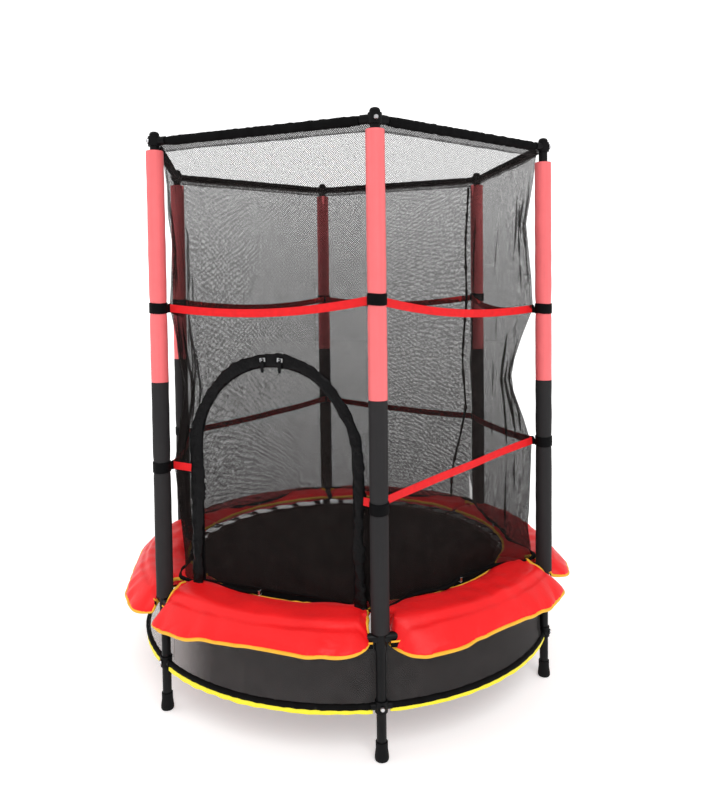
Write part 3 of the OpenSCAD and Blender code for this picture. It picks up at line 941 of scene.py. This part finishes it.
def make_top_hem():
    sleeves = []
    half = POLE_R * SIN_HALF - 0.040
    for number, (panel, angle) in enumerate(PANELS.items()):
        along = np.linspace(-half, half, 90)
        path = side_point(angle, TOP_D, along, TOP_Z - 0.0015)
        radius = 0.0122 - 0.0015 * bell(np.abs(along), half, 0.012)
        shape = puckered(along, radius, 0.0007, 16, 200 + number, 1.04, 1.0)
        sleeve = sweep(f"top_hem_{panel}", path, shape, (0, 0, 1), BLACK)
        sleeves.append(piece(sleeve, "frame", "black_fabric"))
        band = net_points(panel, angle, TOP_Z - 0.027, TOP_Z - 0.008, 0.004, (), 240 + number)
        made = surface(f"top_band_{panel}", band, DENSE_NET)
        piece(made, "frame", "net")
        mean_flat(band)
    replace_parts(join("net_top_hem_sleeves", sleeves), "net_top_hem")


make_top_hem()


def make_seam():
    """Black beaded tape over the net's upright seam, beside the back right upright."""
    points = net_points("back", PANELS["back"], NET_LOW, TOP_Z - 0.030, NET_STEP, NET_FOLDS["back"], 80)
    rows = np.arange(points.shape[1])
    inward = np.interp(points[0, :, 2], [0.36, 0.50, 0.70, 1.5], [0.080, 0.060, 0.020, 0.014]) / NET_STEP
    path = smooth(points[np.round(inward).astype(int), rows], 12) - [0, 0.002, 0]
    path = resample(path, 260)
    beads = 0.0042 + 0.0013 * ripple(path[:, 2], 0 * path[:, 2], 330, 0.035)
    tape = sweep("net_seam_tape", path, outline(2, 2, 10)[None] * beads[:, None, None], (0, 1, 0), BLACK)
    piece(tape, "frame", "black_fabric")


make_seam()


def hem_path():
    turn = np.linspace(0, 360, 720, endpoint=False)
    off_side = (turn + HALF) % 60 - HALF
    side = np.round((turn - HALF) / 60) * 60 + HALF
    dist = NET_D + hem_drift(turn)
    r = dist / np.cos(np.radians(turn - side))
    r = np.minimum(r, dist / COS_HALF - 0.010 * bell(off_side, 0, 4))
    z = NET_LOW - 0.006 + 0.0015 * np.sin(np.radians(23 * turn))
    return polar(r, turn, z), turn


HOOK_SHIFT = {"front": -5, "front_left": 10, "front_right": 2}  # degrees from the side's middle


def make_bottom_hem():
    path, turn = hem_path()
    path = smooth(path, 4, closed=True)
    thick = 0.0052 + 0.0012 * np.sin(np.radians(turn * 47)) + 0.0009 * np.sin(np.radians(turn * 31 + 40))
    shape = outline(2, 2, 10)[None] * thick[:, None, None]
    hem = sweep("net_hem_cord", path, shape, (0, 0, 1), BLACK, closed=True)
    piece(hem, "frame", "black_fabric", "net_bottom_hem")
    hooks = []
    for panel, angle in PANELS.items():
        at = int(np.argmin(np.abs((turn - angle - HOOK_SHIFT.get(panel, 3) + 180) % 360 - 180)))
        spin = circle(24)
        out, across, up = polar(1.0, turn[at], 0.0), polar(1.0, turn[at] + 90, 0.0), np.array([0.0, 0.0, 1.0])
        ring = path[at] - 0.003 * up + 0.0066 * (np.cos(spin)[:, None] * out + np.sin(spin)[:, None] * up)
        hooks.append(sweep("ring", ring, outline(0.0026, 0.0026, 8), across, ZINC, closed=True))
        stem = path[at] + np.array([[0, 0, -0.008], [0, 0, -0.002], [0, 0, 0.004]]) + 0.007 * out
        hooks.append(sweep("stem", resample(stem, 8), outline(0.007, 0.0022, 8, 0.5), across, ZINC))
    piece(join("hem_hooks", hooks), "frame", "zinc")


make_bottom_hem()


# -------- door

def arch_path(radius, z_low, count=160):
    """Points up one side of the door, over its round top and down the other, seen from outside."""
    straight = ARCH_Z - z_low
    total = 2 * straight + math.pi * radius
    run = np.linspace(0, total, count)
    turn = np.clip((run - straight) / radius, 0, math.pi)
    x = -radius * np.cos(turn)
    z = ARCH_Z + radius * np.sin(turn)
    z = z - np.clip(straight - run, 0, None) - np.clip(run - straight - math.pi * radius, 0, None)
    return np.stack((DOOR_X + x, np.zeros(count), z), -1), run


def make_zip_cover():
    path, run = arch_path(ARCH_R + 0.002, NET_LOW - 0.004, 220)
    path[:, 1] = -(ZIP_FACE - 0.0025)
    turn = circle(20)
    puckers = ripple(run[:, None], turn[None, :] * 0.02, 300, 0.035)
    width = 0.0150 + 0.0020 * ripple(run, 0 * run, 301, 0.10) + 0.002 * bell(run, run[-1] / 2, 0.2)
    width = (width + 0.007 * bell(run, 0.30, 0.16))[:, None] + 0.0016 * puckers
    thinner = 0.0026 * ease(path[:, 2], ARCH_Z - 0.08, ARCH_Z - 0.03)  # where the sliders and pulls run
    depth = (0.0064 + 0.0008 * ripple(run, 0 * run, 302, 0.05) - thinner)[:, None] + 0.0008 * puckers
    shape = np.stack((np.cos(turn) * width, np.sin(turn) * depth), -1)
    away = (path - [DOOR_X, 0, ARCH_Z]) * [1, 0, 1]
    away[path[:, 2] < ARCH_Z] *= [1, 0, 0]
    away = unit(away)
    bent = 0.0025 * ripple(run, 0 * run, 303, 0.30) - 0.010 * bell(run, run[-1] * 0.66, 0.10)
    cover = sweep("zip_cover", path + bent[:, None] * away, shape, away, SATIN)
    piece(cover, "frame", "black_fabric", "door_zip")


def make_flap():
    edge = ARCH_R - 0.006
    base = low("door_net").z
    x = np.linspace(-edge, edge, int(2 * edge / NET_STEP) + 1)[:, None]
    z = np.linspace(base, ARCH_Z + edge, int((ARCH_Z + edge - base) / NET_STEP) + 1)[None, :]
    points = np.stack(np.broadcast_arrays(DOOR_X + x, 0.0, z), -1)
    calm = ease(edge - np.minimum(arch_size(points), edge), 0, 0.04) * ease(z, base, base + 0.04)
    waves = 0.004 * ripple(x, z * 0.6, 320, 0.2) + 0.0015 * ripple(x, z, 321, 0.05)
    points[..., 1] = calm * waves - NET_D
    points = to_arch(points, edge, edge, edge + NET_STEP * 1.5)

    def keep(a, b):
        return arch_size((a + b) / 2) < edge - 0.0005

    flap = surface("door_flap", points, NET, keep=keep)
    piece(flap, "door", "net", "door_net")
    path, _ = arch_path(edge - 0.005, base + 0.002)
    path[:, 1] = -NET_D + 0.0005
    away = path * [1, 0, 1] - [DOOR_X, 0, ARCH_Z]
    tape = sweep("door_flap_tape", path, outline(0.012, 0.0024, 12, 0.4), away, BLACK_STRAP)
    piece(tape, "door", "black_fabric")
    foot = np.linspace([DOOR_X - edge, -NET_D, base + 0.004], [DOOR_X + edge, -NET_D, base + 0.004], 40)
    cord = sweep("door_flap_hem", foot, outline(0.0046, 0.004, 10), (0, 0, 1), BLACK)
    piece(cord, "door", "black_fabric")


make_zip_cover()
make_flap()


# -------- bed

LOOPS = 36
LOOP_STEP = 360 / LOOPS


def make_mat():
    turn = np.linspace(0, 360, 360, endpoint=False)[:, None]
    pull = 0.5 + 0.5 * np.cos(np.radians((turn - LOOP_STEP / 2) * LOOPS))
    edge = MAT_R - 0.010 * (1 - pull)
    share = np.concatenate((np.linspace(0.02, 0.9, 26), np.linspace(0.91, 1.0, 8)))[None, :]
    r = edge * share
    flat = polar(r, turn, 0.0)
    z = MAT_Z - 0.004 * (1 - share ** 2) + 0.0006 * ripple(flat[..., 0], flat[..., 1], 400, 0.3)
    points = polar(r, turn, z)
    mat = surface("mat_sheet", points, MAT, closed_i=True)
    mat.data.flip_normals()
    disc = new_mesh("mat_middle", points[:, 0], [list(range(len(points)))], MAT)
    mat = join("mat_sheet", [mat, disc])
    weld = mat.modifiers.new("weld", "WELD")
    weld.merge_threshold = 0.0001
    thick = mat.modifiers.new("thick", "SOLIDIFY")
    thick.thickness = 0.0022
    thick.offset = 0
    settle(mat)
    piece(mat, "mat", "mat_weave", "jumping_mat")
    ring = turn[:, 0]
    rim = edge[:, 0] - 0.009
    border = sweep("mat_border", polar(rim, ring, MAT_Z), outline(0.020, 0.0046, 12, 0.4),
                   polar(1.0, ring, 0.0), BLACK_STRAP, closed=True)
    piece(border, "mat", "mat_weave")
    stitches = []
    for inset in (-0.006, 0.006):
        for k in range(180):
            a = np.array([k * 2.0, k * 2.0 + 1.15])
            p = np.interp(a, ring, rim) + inset
            line = polar(p, a, MAT_Z + 0.0026)
            stitches.append(sweep("stitch", resample(line, 3), outline(0.0012, 0.0012, 6), (0, 0, 1), THREAD))
    piece(join("mat_stitches", stitches), "mat", "mat_weave")


def make_rings():
    """Wire triangles at the mat's edge and the elastic loops from them round the frame ring."""
    wires = []
    inner, outer = MAT_R - 0.004, MAT_R + 0.0085
    for k in range(LOOPS):
        angle = (k + 0.5) * LOOP_STEP
        corners = [(inner, 0.0), (outer, -0.011), (outer, 0.011)]
        path = resample([side_point(angle, d, a, MAT_Z + 0.0005) for d, a in corners], 36, closed=True)
        path = smooth(path, 2, closed=True)
        wires.append(sweep("wire", path, outline(0.0026, 0.0026, 8), (0, 0, 1), ZINC, closed=True))
        dist, z = elastic_path(outer - 0.002).T
        path = side_point(angle, dist, 0.0, z)
        side = side_point(angle, 0.0, 1.0, 0.0)
        band = outline(0.017, 0.0022, 10, 0.4)
        elastic = sweep(f"elastic_{k:02d}", path, band, side, BLACK_STRAP, closed=True)
        side_point(angle, outer + 0.001, 0.0, MAT_Z).tolist()
        side_point(angle, POLE_R - TUBE_R - 0.002, 0.0, MAT_Z).tolist()
        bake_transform(elastic)
        if k == 0:
            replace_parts(elastic, "elastic_loops")
    rings = join("mat_wire_rings", wires)
    piece(rings, "mat", "zinc", "mat_rings")


def elastic_path(start):
    """Closed path in distance and height: through the wire ring, over the frame tube and back under it."""
    radius = TUBE_R + 0.0016
    turn = np.linspace(math.radians(105), math.radians(-105), 24)
    over = np.stack((POLE_R + radius * np.cos(turn), RING_Z + radius * np.sin(turn)), -1)
    near = np.linspace(0, 1, 8)[1:-1, None]
    hook = np.linspace(math.radians(-90), math.radians(-270), 8)
    eye = np.stack((start + 0.0022 * np.cos(hook), MAT_Z + 0.0022 * np.sin(hook)), -1)
    back = over[-1] * (1 - near) + eye[0] * near
    out = eye[-1] * (1 - near) + over[0] * near
    return np.concatenate((over, back, eye, out))


make_rings()
make_mat()


# -------- skirt

def make_skirt():
    turn = np.linspace(0, 360, 540, endpoint=False)[:, None]
    t = np.linspace(0, 1, 24)[None, :]
    off = (turn + HALF) % 60 - HALF
    tuck, low_tuck = bell(off, 0, 4.5), bell(off, 0, 2.4)
    top_r = POLE_R + 0.004 - 0.024 * tuck
    low_r = POLE_R + 0.001 - 0.022 * low_tuck
    z_top, z_low = RING_Z - 0.012, HOOP_Z + 0.001
    z = z_top * (1 - t) + z_low * t
    r = top_r * (1 - t) + low_r * t
    waves = 0.0030 * ripple(np.radians(turn) * POLE_R, z * 0.4, 500, 0.16) * np.sin(np.pi * t)
    sag = 0.008 * np.sin(np.pi * t) * (1 - tuck)
    points = polar(r + waves - sag, turn, z)
    skirt = surface("skirt_mesh", points, SKIRT, closed_i=True)
    piece(skirt, "frame", "skirt_mesh", "skirt")
    flat = mean_flat(np.concatenate((points, points[:1])))


def make_skirt_trim():
    """Binding and heading at the skirt's top, hem and piping at its foot, in arcs between the legs."""
    made = {"binding": [], "heading": [], "hem": [], "piping": []}
    binding_r, binding_z = high("skirt_trim").x - 0.0015, RING_Z - 0.004
    reach = HALF - math.degrees(0.022 / POLE_R)
    for number, angle in enumerate(PANELS.values()):
        a = np.linspace(angle - reach, angle + reach, 90)
        arc = np.radians(a) * POLE_R
        hem = puckered(arc, 0.0076 + 0 * arc, 0.0006, 14, 520 + number, 1.1, 0.9)
        drop = np.interp(a % 360, [0, 240, 300, 360], [0.012, 0.016, 0.010, 0.012])
        drop = drop + 0.0012 * ripple(arc, 0 * a, 540 + number, 0.08)
        piping = outline(1, 0.003, 10, 0.5)[None] * np.stack((drop, np.ones_like(drop)), -1)[:, None]
        for kind, line, shape, look in (
                ("binding", polar(binding_r + 0.001, a, binding_z), outline(0.005, 0.0024, 10, 0.6), ORANGE),
                ("heading", polar(binding_r, a, binding_z - 0.008), outline(0.013, 0.0026, 10, 0.4), BLACK),
                ("hem", polar(POLE_R, a, HOOP_Z), hem, BLACK),
                ("piping", polar(POLE_R + 0.003, a, HOOP_Z - 0.006 - drop / 2), piping, YELLOW)):
            made[kind].append(sweep(kind, line, shape, (0, 0, 1), look))
    for kind, parts in made.items():
        slot_name = "black_fabric" if kind in ("heading", "hem") else "yellow_binding"
        trim = piece(join(f"skirt_{kind}", parts), "frame", slot_name)
        if kind == "binding":
            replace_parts(trim, "skirt_trim")


make_skirt_trim()
make_skirt()


# -------- floor

def make_floor():
    look = Look("studio_floor", (0.95, 0.95, 0.95), 0.9, Specular_IOR_Level=0.1, Emission_Strength=0.36)
    look.shader.inputs["Emission Color"].default_value = (1, 1, 1, 1)
    size = 14.0
    corners = np.array([(-size, -size, 0), (size, -size, 0), (size, size, 0), (-size, size, 0)], float)
    floor = new_mesh("studio_floor", corners, [[0, 1, 2, 3]], look.material)


make_floor()
